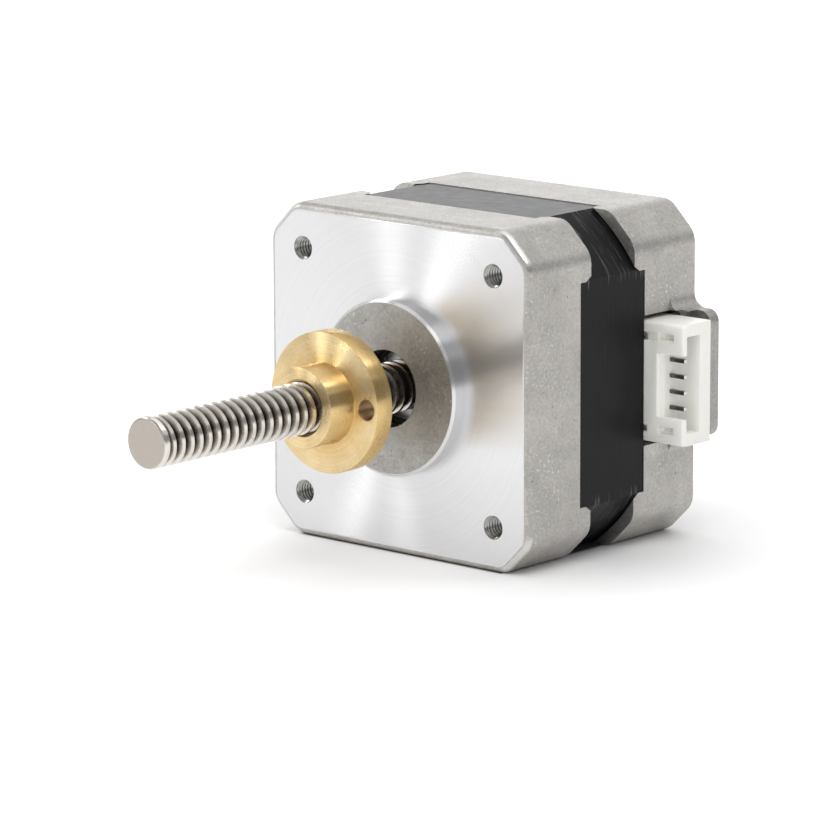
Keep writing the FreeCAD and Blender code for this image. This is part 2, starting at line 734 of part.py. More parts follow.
def build_connector_housing():
    """A shrouded header: open towards +X, with a key opening and two small windows in its front wall."""
    body = new_body("connector_housing")
    half = f"({CONNECTOR_LENGTH} / 2)"
    rear = f"({CONNECTOR_FRONT} + connector_depth)"
    pad(body, "block", CONNECTOR_FRONT, rear,
        lambda s: rectangle(s, CONNECTOR_ROOT, CONNECTOR_MOUTH, f"-{half}", half))
    inside = f"({half} - connector_end_wall)"
    inner_front = f"({CONNECTOR_FRONT} + connector_wall)"
    pocket(body, "socket", inner_front, f"({rear} - connector_rear_wall)",
           lambda s: rectangle(s, CONNECTOR_FLOOR, CONNECTOR_MOUTH, f"-{inside}", inside))
    key_start = f"({HALF_WIDTH} + key_level)"
    window_start = f"({HALF_WIDTH} + window_level)"

    def draw_front_openings(sketch):
        rectangle(sketch, key_start, CONNECTOR_MOUTH, "(-pin_drop - key_width / 2)",
                  "(-pin_drop + key_width / 2)")
        for centre in ("-window_offset", "window_offset"):
            rectangle(sketch, window_start, f"({window_start} + window_length)",
                      f"({centre} - window_width / 2)", f"({centre} + window_width / 2)")

    pocket(body, "front_openings", CONNECTOR_FRONT, inner_front, draw_front_openings)
    sketch = new_sketch(body, "pin_channel_outline", "XY_Plane", f"({LOWEST_PIN} + pin_size)")
    draw_pin(sketch)
    channel = body.newObject("PartDesign::Pocket", "pin_channel")
    channel.Profile = sketch
    bind(channel, "Length", "pin_size")
    row_along_z(body, "pin_channels", [channel], "pin_count", "pin_pitch")


def build_winding_board():
    """A curved board on the rear insulator's outer flanges, with a tongue under the connector."""
    body = new_body("winding_board")
    inner = f"({HUB_RADIUS} + board_play)"
    outer = f"({CAVITY_RADIUS} - slip_clearance)"
    angle = "(board_angle / 2)"

    def draw_sector(sketch):
        low_outer = rotated(outer, "0", f"(-{angle})")
        high_outer = rotated(outer, "0", angle)
        outline(sketch, [
            rotated(inner, "0", f"(-{angle})"), (*low_outer, "0", "0"), high_outer,
            (*rotated(inner, "0", angle), "0", "0"),
        ])

    pad(body, "sector", BOARD_FRONT, BOARD_REAR, draw_sector)
    tongue_half = f"({CONNECTOR_LENGTH} / 2)"
    tongue_end = f"({CONNECTOR_ROOT} + tongue_reach)"
    tongue_start = f"({CAVITY_RADIUS} - tongue_lap)"
    pad(body, "tongue", BOARD_FRONT, BOARD_REAR,
        lambda s: rectangle(s, tongue_start, tongue_end, f"-{tongue_half}", tongue_half))
    hole = pocket(body, "pin_hole", BOARD_FRONT, BOARD_REAR,
                  lambda s: rectangle(s, PIN_TAIL, f"({PIN_TAIL} + pin_size)", LOWEST_PIN,
                                      f"({LOWEST_PIN} + pin_size)"))
    row_along_z(body, "pin_holes", [hole], "pin_count", "pin_pitch")


def check_model():
    """Stops before anything is written if a feature failed, or cut or added nothing."""
    doc.recompute()
    for item in doc.Objects:
        if "Invalid" in item.State or "Error" in item.State:
            raise RuntimeError(f"{item.Label} failed: {item.State}")
    for body in pieces:
        if body.Shape.isNull() or not body.Shape.isValid():
            raise RuntimeError(f"{body.Label} has no valid shape")
        for feature in getattr(body, "Group", []):
            base = getattr(feature, "BaseFeature", None)
            if base is not None and abs(base.Shape.Volume - feature.Shape.Volume) < SAME:
                raise RuntimeError(f"{body.Label}: {feature.Name} changes nothing")


build_front_cap()
build_rear_cap()
build_stator_stack()
build_insulator("front_insulator", STACK_FRONT, "-1", "flange_height")
build_insulator("rear_insulator", STACK_REAR, "1", "slip_clearance + connector_depth")
build_coils("phase_a_coils", 0)
build_coils("phase_b_coils", 1)
build_case_screws()
build_bearing("front", FRONT_BEARING)
build_bearing("rear", REAR_BEARING)
build_wave_washer()
build_lead_screw()
build_rotor_cup("rotor_cup_front", ROTOR_FRONT, MAGNET_FRONT, "0")
build_rotor_cup("rotor_cup_rear", MAGNET_REAR, ROTOR_REAR, "0.5")
build_sleeve("rotor_magnet", MAGNET_FRONT, MAGNET_REAR, f"({ROTOR_RADIUS} - magnet_inset)")
build_sleeve("front_spacer", FRONT_BEARING_REAR, ROTOR_FRONT, "(spacer_diameter / 2)")
build_sleeve("rear_spacer", ROTOR_REAR, REAR_BEARING, "(spacer_diameter / 2)")
build_lead_nut()
build_connector_pins()
build_connector_housing()
build_winding_board()
check_model()

os.makedirs("parts", exist_ok=True)
for piece in pieces:
    piece.Shape.exportStep(f"parts/{piece.Label}.step")
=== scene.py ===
import math

import bmesh
import bpy
from mathutils import Matrix, Vector


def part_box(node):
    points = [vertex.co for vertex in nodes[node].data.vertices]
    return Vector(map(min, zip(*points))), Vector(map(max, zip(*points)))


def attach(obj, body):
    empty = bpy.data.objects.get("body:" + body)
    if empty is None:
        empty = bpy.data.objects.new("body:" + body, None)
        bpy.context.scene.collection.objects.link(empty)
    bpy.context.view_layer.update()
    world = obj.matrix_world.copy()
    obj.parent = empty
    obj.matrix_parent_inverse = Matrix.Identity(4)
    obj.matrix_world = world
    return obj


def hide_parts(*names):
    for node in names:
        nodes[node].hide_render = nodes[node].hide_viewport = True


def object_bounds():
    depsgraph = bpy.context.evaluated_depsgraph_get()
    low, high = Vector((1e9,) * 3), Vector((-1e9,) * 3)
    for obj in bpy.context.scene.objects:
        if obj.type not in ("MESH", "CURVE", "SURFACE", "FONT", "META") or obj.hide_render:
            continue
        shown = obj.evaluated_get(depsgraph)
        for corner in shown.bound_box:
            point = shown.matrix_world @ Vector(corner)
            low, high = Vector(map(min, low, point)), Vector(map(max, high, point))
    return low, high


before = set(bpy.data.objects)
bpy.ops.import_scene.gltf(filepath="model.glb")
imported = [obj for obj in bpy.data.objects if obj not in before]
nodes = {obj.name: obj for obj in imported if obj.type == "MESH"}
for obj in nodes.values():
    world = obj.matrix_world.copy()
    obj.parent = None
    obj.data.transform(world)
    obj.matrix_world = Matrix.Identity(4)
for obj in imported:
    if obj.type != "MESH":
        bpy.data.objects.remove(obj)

mm = 0.001
hair = 0.001 * mm  # nearer than this counts as the same place
facing = 0.9  # a normal with more than this along an axis points that way
cadBox = [list(corner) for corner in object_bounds()]
scene = bpy.context.scene
scene.view_settings.view_transform = "Standard"
print("frame loaded:", len(nodes), "nodes")


# modelling helpers

def deselectAll():
    if bpy.context.mode != "OBJECT":
        bpy.ops.object.mode_set(mode="OBJECT")
    bpy.ops.object.select_all(action="DESELECT")


def makeActive(piece):
    deselectAll()
    piece.select_set(True)
    bpy.context.view_layer.objects.active = piece


def editMode(piece):
    makeActive(piece)
    bpy.ops.object.mode_set(mode="EDIT")
    bpy.ops.mesh.select_mode(type="VERT")


def objectMode():
    bpy.ops.object.mode_set(mode="OBJECT")


def placeIntoMesh(piece):
    makeActive(piece)
    bpy.ops.object.transform_apply(location=True, rotation=True, scale=True)


def selectAll():
    bpy.ops.mesh.select_all(action="SELECT")


def selectFaces(piece, wanted):
    bpy.ops.mesh.select_mode(type="FACE")
    bpy.ops.mesh.select_all(action="DESELECT")
    grid = bmesh.from_edit_mesh(piece.data)
    for face in grid.faces:
        if wanted(face.calc_center_median(), face.normal):
            face.select_set(True)
    bmesh.update_edit_mesh(piece.data)


def selectEdges(piece, wanted):
    bpy.ops.mesh.select_mode(type="EDGE")
    bpy.ops.mesh.select_all(action="DESELECT")
    grid = bmesh.from_edit_mesh(piece.data)
    for edge in grid.edges:
        if wanted(edge.verts[0].co, edge.verts[1].co):
            edge.select_set(True)
    bmesh.update_edit_mesh(piece.data)


def weld(distance):
    selectAll()
    bpy.ops.mesh.remove_doubles(threshold=distance)


def faceOutward():
    selectAll()
    bpy.ops.mesh.normals_make_consistent(inside=False)


def addBlock(low, high):
    deselectAll()
    size = [high[axis] - low[axis] for axis in range(3)]
    middle = [(high[axis] + low[axis]) / 2 for axis in range(3)]
    bpy.ops.mesh.primitive_cube_add(size=1, location=middle)
    block = bpy.context.object
    block.scale = size
    placeIntoMesh(block)
    return block


def addRod(radius, near, far, sides):
    # a round bar on the shaft axis between two levels
    deselectAll()
    bpy.ops.mesh.primitive_cylinder_add(
        vertices=sides, radius=radius, depth=far - near, location=(0, (near + far) / 2, 0),
        rotation=(math.radians(90), 0, 0))
    rod = bpy.context.object
    placeIntoMesh(rod)
    return rod


def drawLine(points):
    # a chain of edges, extruded point by point from a plane that is merged to a dot
    dot = 0.1 * mm
    deselectAll()
    bpy.ops.mesh.primitive_plane_add(size=dot, location=points[0])
    line = bpy.context.object
    placeIntoMesh(line)
    editMode(line)
    selectAll()
    bpy.ops.mesh.merge(type="CENTER")
    for start, end in zip(points, points[1:]):
        bpy.ops.mesh.extrude_region_move(TRANSFORM_OT_translate={"value": Vector(end) - Vector(start)})
    objectMode()
    return line


def spinProfile(points, steps):
    # turns a closed profile of (radius, level) points about the shaft axis
    line = drawLine([(radius, level, 0) for radius, level in points + points[:1]])
    editMode(line)
    weld(0.1 * hair)
    selectAll()
    bpy.ops.mesh.spin(steps=steps, angle=2 * math.pi, center=(0, 0, 0), axis=(0, 1, 0))
    weld(0.1 * hair)
    faceOutward()
    objectMode()
    return line


def turnThread(shape, outer, inner, near, far):
    # a bar with a right-hand thread round the shaft axis, cut square at two levels
    pitch, crest, halfRoot = shape["pitch"], shape["crest"], shape["root"] / 2
    flank = pitch / 2 - crest / 2 - halfRoot
    levels = [0.0, halfRoot, halfRoot + flank, halfRoot + flank + crest, pitch - halfRoot, pitch]
    radii = [inner, inner, outer, outer, inner, inner]
    thread = drawLine([(radius, shape["start"] + level, 0) for radius, level in zip(radii, levels)])
    applyModifier(thread, "SCREW", axis="Y", angle=2 * math.pi, screw_offset=pitch,
                  iterations=shape["turns"], steps=shape["steps"], render_steps=shape["steps"],
                  use_merge_vertices=True, merge_threshold=hair)
    editMode(thread)
    weld(hair)
    for level, side in ((near, -1), (far, 1)):
        selectAll()
        bpy.ops.mesh.bisect(plane_co=(0, level, 0), plane_no=(0, side, 0), use_fill=True, clear_outer=True)
    faceOutward()
    objectMode()
    return thread


def applyModifier(piece, kind, **settings):
    makeActive(piece)
    modifier = piece.modifiers.new(kind.lower(), kind)
    for key, value in settings.items():
        setattr(modifier, key, value)
    bpy.ops.object.modifier_apply(modifier=modifier.name)


def combine(piece, tool, operation):
    applyModifier(piece, "BOOLEAN", object=tool, operation=operation, solver="EXACT")
    bpy.data.objects.remove(tool)


def softenEdges(piece, width, segments, angle):
    applyModifier(piece, "BEVEL", width=width, segments=segments, limit_method="ANGLE",
                  angle_limit=math.radians(angle), harden_normals=False)


def copyPiece(piece, shift):
    makeActive(piece)
    bpy.ops.object.duplicate(linked=False)
    copied = bpy.context.object
    copied.location = Vector(shift)
    placeIntoMesh(copied)
    return copied


def copyToCorners(piece, place):
    # four copies on a square round the shaft axis, in place of the piece
    shifts = [(across * place, 0, up * place) for across in (-1, 1) for up in (-1, 1)]
    copies = [copyPiece(piece, shift) for shift in shifts]
    bpy.data.objects.remove(piece)
    return copies


def joinPieces(pieces):
    deselectAll()
    for piece in pieces:
        piece.select_set(True)
    bpy.context.view_layer.objects.active = pieces[0]
    bpy.ops.object.join()
    return bpy.context.object


def finishPiece(piece, name, body, material, angle, replaced=()):
    makeActive(piece)
    bpy.ops.object.shade_smooth_by_angle(angle=math.radians(angle))
    piece.name = name
    piece.data.name = name
    piece.data.materials.clear()
    piece.data.materials.append(material)
    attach(piece, body)
    for node in replaced:
        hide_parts(node)


# material helpers

noiseSpan = (0.3, 0.7)  # nearly all noise lies between these


def startMaterial(name):
    material = bpy.data.materials.new(name)
    material.use_nodes = True
    tree = material.node_tree
    return material, tree, tree.nodes["Principled BSDF"]


def addNode(tree, kind, settings=None, **inputs):
    # an input is named as in the editor, or i and its number
    made = tree.nodes.new(kind)
    for key, value in (settings or {}).items():
        setattr(made, key, value)
    for key, value in inputs.items():
        socket = made.inputs[int(key[1:])] if key[0] == "i" and key[1:].isdigit() else made.inputs[key]
        if isinstance(value, bpy.types.NodeSocket):
            tree.links.new(value, socket)
        else:
            socket.default_value = value
    return made


def objectPoint(tree):
    return addNode(tree, "ShaderNodeTexCoord").outputs["Object"]


def noise(tree, point, scale, detail=2.0, rough=0.5):
    return addNode(tree, "ShaderNodeTexNoise", Vector=point, Scale=scale, Detail=detail,
                   Roughness=rough).outputs["Fac"]


def noiseAlong(tree, value, scale):
    return addNode(tree, "ShaderNodeTexNoise", {"noise_dimensions": "1D"}, W=value, Scale=scale,
                   Detail=3.0).outputs["Fac"]


def remap(tree, value, low, high, toLow=0.0, toHigh=1.0):
    return addNode(tree, "ShaderNodeMapRange", i0=value, i1=low, i2=high, i3=toLow, i4=toHigh).outputs[0]


def mottle(tree, point, scale, toLow=0.0, toHigh=1.0, detail=3.0):
    # noise with its contrast stretched between two values
    return remap(tree, noise(tree, point, scale, detail, 0.6), *noiseSpan, toLow, toHigh)


def calc(tree, operation, first, second=0.0):
    return addNode(tree, "ShaderNodeMath", {"operation": operation}, i0=first, i1=second).outputs[0]


def plus(tree, first, second):
    return calc(tree, "ADD", first, second)


def minus(tree, first, second):
    return calc(tree, "SUBTRACT", first, second)


def times(tree, first, second):
    return calc(tree, "MULTIPLY", first, second)


def larger(tree, first, second):
    return calc(tree, "MAXIMUM", first, second)


def below(tree, value, limit):
    return calc(tree, "LESS_THAN", value, limit)


def above(tree, value, limit):
    return calc(tree, "GREATER_THAN", value, limit)


def absolute(tree, value):
    return calc(tree, "ABSOLUTE", value)


def ripple(tree, value, length):
    return calc(tree, "SINE", times(tree, value, 2 * math.pi / length))


def mixColour(tree, factor, first, second, blend="MIX"):
    return addNode(tree, "ShaderNodeMix", {"data_type": "RGBA", "blend_type": blend}, i0=factor, i6=first,
                   i7=second).outputs[2]


def mixNumber(tree, factor, first, second):
    return addNode(tree, "ShaderNodeMix", i0=factor, i2=first, i3=second).outputs[0]


def rgb(red, green, blue):
    return (red, green, blue, 1.0)


def split(tree, point):
    parts = addNode(tree, "ShaderNodeSeparateXYZ", i0=point).outputs
    return parts[0], parts[1], parts[2]


def hypotenuse(tree, first, second):
    return calc(tree, "SQRT", plus(tree, times(tree, first, first), times(tree, second, second)))


def axisRadius(tree, point):
    x, _, z = split(tree, point)
    return hypotenuse(tree, x, z)


def link(tree, value, shader, name):
    tree.links.new(value, shader.inputs[name])


def bump(tree, shader, height, strength, depth):
    made = addNode(tree, "ShaderNodeBump", Strength=strength, Distance=depth, Height=height)
    link(tree, made.outputs["Normal"], shader, "Normal")


def grooveRoundAxis(tree, shader):
    # stretches highlights across the tool marks of a lathe
    quarterTurn = 0.25
    tangent = addNode(tree, "ShaderNodeTangent", {"direction_type": "RADIAL", "axis": "Y"})
    link(tree, tangent.outputs[0], shader, "Tangent")
    setValues(shader, Anisotropic_Rotation=quarterTurn)


def setValues(shader, **values):
    for key, value in values.items():
        shader.inputs[key.replace("_", " ")].default_value = value


black = rgb(0, 0, 0)
white = rgb(1, 1, 1)


# cast aluminium of both caps

castFinish = {
    "dark": rgb(0.32, 0.307, 0.288), "light": rgb(0.69, 0.671, 0.641), "fleck": rgb(0.78, 0.765, 0.74),
    "pit": rgb(0.20, 0.19, 0.175), "cloudScale": 260, "cloudRange": (0.25, 0.75), "cloudShare": 0.55,
    "grainScale": 2600, "grainShare": 0.45, "grainHeight": 0.7, "pitScale": 1700, "pitRange": (0.33, 0.24),
    "rubScale": 150, "rubRange": (0.52, 0.66), "nickScale": 2600, "nickRange": (0.60, 0.72),
    "roughScale": 900, "rough": (0.43, 0.56), "lumpScale": 1100, "bump": 0.3, "depth": 0.03 * mm,
    # the tab keys set a painted shade on the rear cap's tab behind the connector
    "tabFrom": 21.4 * mm, "tabTo": 22.2 * mm, "tabPaintedShade": 0.2}


def castSurface(tree, point):
    # an even fine grain with a few bright nicks and shallow pits
    cloud = mottle(tree, point, castFinish["cloudScale"], *castFinish["cloudRange"])
    grain = noise(tree, point, castFinish["grainScale"], 3.0, 0.75)
    tone = plus(tree, times(tree, cloud, castFinish["cloudShare"]),
                remap(tree, grain, *noiseSpan, 0.0, castFinish["grainShare"]))
    colour = mixColour(tree, tone, castFinish["dark"], castFinish["light"])
    pits = remap(tree, noise(tree, point, castFinish["pitScale"], 2.0, 0.6), *castFinish["pitRange"])
    colour = mixColour(tree, pits, colour, castFinish["pit"])
    rubbed = remap(tree, noise(tree, point, castFinish["rubScale"]), *castFinish["rubRange"])
    nicks = remap(tree, noise(tree, point, castFinish["nickScale"]), *castFinish["nickRange"])
    colour = mixColour(tree, times(tree, rubbed, nicks), colour, castFinish["fleck"])
    rough = mottle(tree, point, castFinish["roughScale"], *castFinish["rough"])
    lumps = noise(tree, point, castFinish["lumpScale"], 3.0, 0.6)
    height = plus(tree, times(tree, grain, castFinish["grainHeight"]), lumps)
    return colour, rough, height


def makeCastCap():
    # painted shade: the tab behind the connector is darkened toward black
    material, tree, shader = startMaterial("castAluminium")
    point = objectPoint(tree)
    x = split(tree, point)[0]
    colour, rough, height = castSurface(tree, point)
    tabInPaintedShade = remap(tree, x, castFinish["tabFrom"], castFinish["tabTo"], 0.0, castFinish["tabPaintedShade"])
    link(tree, mixColour(tree, tabInPaintedShade, colour, black), shader, "Base Color")
    link(tree, rough, shader, "Roughness")
    setValues(shader, Metallic=1.0)
    bump(tree, shader, height, castFinish["bump"], castFinish["depth"])
    return material


faceFinish = {
    "dark": rgb(0.725, 0.722, 0.73), "light": rgb(0.775, 0.772, 0.78), "rough": 0.25, "turned": 1.0,
    "faceDepth": 0.02 * mm, "wallLevel": 0.01 * mm, "wallRadius": 10.66 * mm, "ringScale": 2600,
    # the bore colour and the boss front's darkening are painted shade
    "ringHeight": 0.018, "toneScale": 60, "toneRange": (0.7, 1.3), "bore": rgb(0.10, 0.098, 0.095),
    "boreRadius": 4.85 * mm, "bossLevel": -1.95 * mm, "bossPaintedShade": 0.2, "rubbed": rgb(0.76, 0.75, 0.73),
    "rubbedShare": 0.7, "rubbedRough": 0.26, "roundStart": (0.03 * mm, 0.12 * mm),
    "roundEnd": (0.95 * mm, 0.6 * mm), "facetReach": (36.85 * mm, 37.55 * mm)}


def makeFrontCap():
    # the face and the boss wall are turned bright, the facets' edges are rubbed, the rest is as cast; the
    # boss front is darkened as painted shade and the bore is painted near black as painted shade
    material, tree, shader = startMaterial("castAndTurnedAluminium")
    point = objectPoint(tree)
    x, y, z = split(tree, point)
    radius = axisRadius(tree, point)
    colour, rough, height = castSurface(tree, point)
    onFace = below(tree, absolute(tree, y), faceFinish["faceDepth"])
    onBossWall = times(tree, below(tree, y, faceFinish["wallLevel"]),
                       above(tree, radius, faceFinish["wallRadius"]))
    turned = larger(tree, onFace, onBossWall)
    onBossFront = below(tree, y, faceFinish["bossLevel"])
    inShadedBore = below(tree, radius, faceFinish["boreRadius"])
    onRound = times(tree, remap(tree, y, *faceFinish["roundStart"]),
                    remap(tree, y, *faceFinish["roundEnd"]))
    reach = plus(tree, absolute(tree, x), absolute(tree, z))
    onRound = times(tree, onRound, remap(tree, reach, *faceFinish["facetReach"]))

    # painted shade: the boss front is darkened toward black
    colour = mixColour(tree, times(tree, onBossFront, faceFinish["bossPaintedShade"]), colour, black)
    colour = mixColour(tree, times(tree, onRound, faceFinish["rubbedShare"]), colour, faceFinish["rubbed"])
    # painted shade: the bore's walls are painted near black
    colour = mixColour(tree, inShadedBore, colour, faceFinish["bore"])
    rings = noiseAlong(tree, radius, faceFinish["ringScale"])
    tone = plus(tree, rings, noise(tree, point, faceFinish["toneScale"]))
    tone = remap(tree, tone, *faceFinish["toneRange"])
    bright = mixColour(tree, tone, faceFinish["dark"], faceFinish["light"])
    link(tree, mixColour(tree, turned, colour, bright), shader, "Base Color")

    rough = mixNumber(tree, onRound, rough, faceFinish["rubbedRough"])
    rough = mixNumber(tree, larger(tree, turned, inShadedBore), rough, faceFinish["rough"])
    link(tree, rough, shader, "Roughness")
    height = mixNumber(tree, turned, height, times(tree, rings, faceFinish["ringHeight"]))
    bump(tree, shader, height, castFinish["bump"], castFinish["depth"])
    setValues(shader, Metallic=1.0)
    link(tree, times(tree, turned, faceFinish["turned"]), shader, "Anisotropic")
    grooveRoundAxis(tree, shader)
    return material


# black laminations of the stack

stackFinish = {
    "base": rgb(0.0095, 0.0095, 0.0105), "scratch": rgb(0.16, 0.16, 0.16), "sheet": 0.5 * mm,
    "streaks": (170, 6500, 170), "wornRange": (0.59, 0.72), "cornerFrom": 24.6 * mm, "cornerTo": 25.1 * mm,
    "wornFlat": 0.03, "roughScale": 700, "rough": (0.30, 0.36), "specular": 0.125, "bump": 0.05,
    "depth": 0.03 * mm}


def makeStack():
    # enamel over the sheets' edges, scratched on the round corners
    material, tree, shader = startMaterial("blackLaminations")
    point = objectPoint(tree)
    y = split(tree, point)[1]
    streaks = addNode(tree, "ShaderNodeMapping", {"vector_type": "POINT"}, Vector=point,
                      Scale=stackFinish["streaks"]).outputs[0]
    worn = remap(tree, noise(tree, streaks, 1.0, 2.0, 0.6), *stackFinish["wornRange"])
    corner = remap(tree, axisRadius(tree, point), stackFinish["cornerFrom"], stackFinish["cornerTo"],
                   stackFinish["wornFlat"], 1.0)
    worn = times(tree, worn, corner)
    link(tree, mixColour(tree, worn, stackFinish["base"], stackFinish["scratch"]), shader, "Base Color")
    link(tree, mottle(tree, point, stackFinish["roughScale"], *stackFinish["rough"]), shader, "Roughness")
    sheets = ripple(tree, y, stackFinish["sheet"])
    bump(tree, shader, plus(tree, sheets, worn), stackFinish["bump"], stackFinish["depth"])
    setValues(shader, Specular_IOR_Level=stackFinish["specular"])
    return material


# brass of the nut

brassFinish = {
    "dark": rgb(0.65, 0.475, 0.23), "light": rgb(0.84, 0.675, 0.405), "groove": 0.2 * mm, "ringShare": 0.6,
    "blotchScale": 300, "toneRange": (0.45, 1.15), "wallShadeTint": rgb(0.96, 0.88, 0.70), "hubWall": 4.95 * mm,
    "rimWall": 8.62 * mm, "innerFace": 5.6 * mm, "outerFace": 7.2 * mm, "nearHubShadeTint": 0.8,
    "hole": rgb(0.50, 0.33, 0.18), "holePlace": 6.85 * mm, "holeRadius": 1.32 * mm, "holeRough": 0.42,
    "roughScale": 900, "rough": (0.238, 0.35), "turned": 0.92, "bump": 0.1, "depth": 0.01 * mm}


def makeBrass():
    # fine rings round the axis, painted shade tinting the turned walls and the face next to the hub, and
    # dull in the drilled holes
    material, tree, shader = startMaterial("turnedBrass")
    point = objectPoint(tree)
    x, y, z = split(tree, point)
    radius = axisRadius(tree, point)
    rings = noiseAlong(tree, plus(tree, radius, y), 1 / brassFinish["groove"])
    blotch = noise(tree, point, brassFinish["blotchScale"])
    tone = plus(tree, times(tree, rings, brassFinish["ringShare"]), blotch)
    tone = remap(tree, tone, *brassFinish["toneRange"])
    colour = mixColour(tree, tone, brassFinish["dark"], brassFinish["light"])
    # painted shade: the hub wall, the rim wall and the face next to the hub are tinted darker and browner
    inner = remap(tree, radius, brassFinish["innerFace"], brassFinish["outerFace"],
                  brassFinish["nearHubShadeTint"], 0.0)
    onShadedWall = times(tree, above(tree, radius, brassFinish["hubWall"]), inner)
    onShadedWall = larger(tree, onShadedWall, above(tree, radius, brassFinish["rimWall"]))
    colour = mixColour(tree, onShadedWall, colour, brassFinish["wallShadeTint"], "MULTIPLY")
    aside = minus(tree, absolute(tree, x), brassFinish["holePlace"])
    inHole = below(tree, hypotenuse(tree, aside, z), brassFinish["holeRadius"])
    link(tree, mixColour(tree, inHole, colour, brassFinish["hole"]), shader, "Base Color")
    rough = mottle(tree, point, brassFinish["roughScale"], *brassFinish["rough"])
    link(tree, mixNumber(tree, inHole, rough, brassFinish["holeRough"]), shader, "Roughness")
    bump(tree, shader, rings, brassFinish["bump"], brassFinish["depth"])
    setValues(shader, Metallic=1.0, Anisotropic=brassFinish["turned"])
    grooveRoundAxis(tree, shader)
    return material


# stainless steel of the lead screw

screwFinish = {
    # the root colour is painted shade in the thread's roots
    "crest": rgb(0.77, 0.735, 0.69), "crestRadius": 3.13 * mm, "root": rgb(0.10, 0.08, 0.062),
    "rootRadius": 2.5 * mm, "end": rgb(0.44, 0.40, 0.36), "endLevel": -43.97 * mm, "oilScale": 1400,
    "oilRange": (-0.1, 0.1), "roughScale": 1500, "rough": (0.16, 0.26), "bumpScale": 3000, "bump": 0.08,
    "depth": 0.01 * mm}


def makeScrewSteel():
    # bright crests, roots darkened as painted shade and mottled at random, and a cut end
    material, tree, shader = startMaterial("stainlessThread")
    point = objectPoint(tree)
    y = split(tree, point)[1]
    # painted shade: colour runs from near black at the thread's roots to bright at the crests
    shade = remap(tree, axisRadius(tree, point), screwFinish["rootRadius"], screwFinish["crestRadius"])
    shade = plus(tree, shade, mottle(tree, point, screwFinish["oilScale"], *screwFinish["oilRange"]))
    colour = mixColour(tree, remap(tree, shade, 0.0, 1.0), screwFinish["root"], screwFinish["crest"])
    onEnd = below(tree, y, screwFinish["endLevel"])
    link(tree, mixColour(tree, onEnd, colour, screwFinish["end"]), shader, "Base Color")
    link(tree, mottle(tree, point, screwFinish["roughScale"], *screwFinish["rough"]), shader, "Roughness")
    grain = noise(tree, point, screwFinish["bumpScale"])
    bump(tree, shader, grain, screwFinish["bump"], screwFinish["depth"])
    setValues(shader, Metallic=1.0)
    return material


# metal and plastic of the connector, wire of the coils

pinFinish = {
    # the dark and light colours are painted shade on the pins' sides, the cut colour a painted highlight on
    # their ends
    "dark": rgb(0.10, 0.095, 0.085), "light": rgb(0.19, 0.18, 0.165), "scale": 2500,
    "cut": rgb(0.82, 0.80, 0.76), "cutLevel": 25.9 * mm, "rough": (0.26, 0.36), "metallic": 0.9,
    "bump": 0.08, "depth": 0.01 * mm}


def makePinMetal():
    # sides painted dark as painted shade, ends painted bright as a painted highlight
    material, tree, shader = startMaterial("tinnedPins")
    point = objectPoint(tree)
    x = split(tree, point)[0]
    tone = mottle(tree, point, pinFinish["scale"])
    sides = mixColour(tree, tone, pinFinish["dark"], pinFinish["light"])
    # painted shade on the pins' sides, painted highlight on their ends
    pinEndHighlight = above(tree, x, pinFinish["cutLevel"])
    link(tree, mixColour(tree, pinEndHighlight, sides, pinFinish["cut"]), shader, "Base Color")
    link(tree, remap(tree, tone, 0.0, 1.0, *pinFinish["rough"]), shader, "Roughness")
    bump(tree, shader, tone, pinFinish["bump"], pinFinish["depth"])
    setValues(shader, Metallic=pinFinish["metallic"])
    return material


ivoryFinish = {
    "dark": rgb(0.93, 0.915, 0.855), "light": rgb(0.97, 0.958, 0.915), "scale": 260, "roughScale": 2500,
    "rough": (0.34, 0.46), "bumpScale": 5000, "bump": 0.08, "depth": 0.02 * mm, "glowThrough": 0.3,
    "glowDepth": 0.6 * mm, "glowColour": (1.0, 0.92, 0.75)}


def makeConnectorPlastic():
    # a moulding that lets a little light through
    material, tree, shader = startMaterial("ivoryMoulding")
    point = objectPoint(tree)
    tone = mottle(tree, point, ivoryFinish["scale"])
    link(tree, mixColour(tree, tone, ivoryFinish["dark"], ivoryFinish["light"]), shader, "Base Color")
    rough = mottle(tree, point, ivoryFinish["roughScale"], *ivoryFinish["rough"], detail=2.0)
    link(tree, rough, shader, "Roughness")
    grain = noise(tree, point, ivoryFinish["bumpScale"])
    bump(tree, shader, grain, ivoryFinish["bump"], ivoryFinish["depth"])
    setValues(shader, Subsurface_Weight=ivoryFinish["glowThrough"],
              Subsurface_Scale=ivoryFinish["glowDepth"], Subsurface_Radius=ivoryFinish["glowColour"])
    return material


wireFinish = {
    "dark": rgb(0.36, 0.10, 0.03), "light": rgb(0.62, 0.22, 0.08), "scale": 900, "rough": (0.3, 0.42),
    "wire": 0.3 * mm, "metallic": 0.8, "bump": 0.6, "depth": 0.05 * mm}


def makeCopperWire():
    # enamelled wire, wound in layers
    material, tree, shader = startMaterial("copperWinding")
    point = objectPoint(tree)
    tone = mottle(tree, point, wireFinish["scale"])
    link(tree, mixColour(tree, tone, wireFinish["dark"], wireFinish["light"]), shader, "Base Color")
    link(tree, remap(tree, tone, 0.0, 1.0, *wireFinish["rough"]), shader, "Roughness")
    turns = ripple(tree, axisRadius(tree, point), wireFinish["wire"])
    bump(tree, shader, turns, wireFinish["bump"], wireFinish["depth"])
    setValues(shader, Metallic=wireFinish["metallic"])
    return material


# fine-grained finishes of the small and the inner pieces

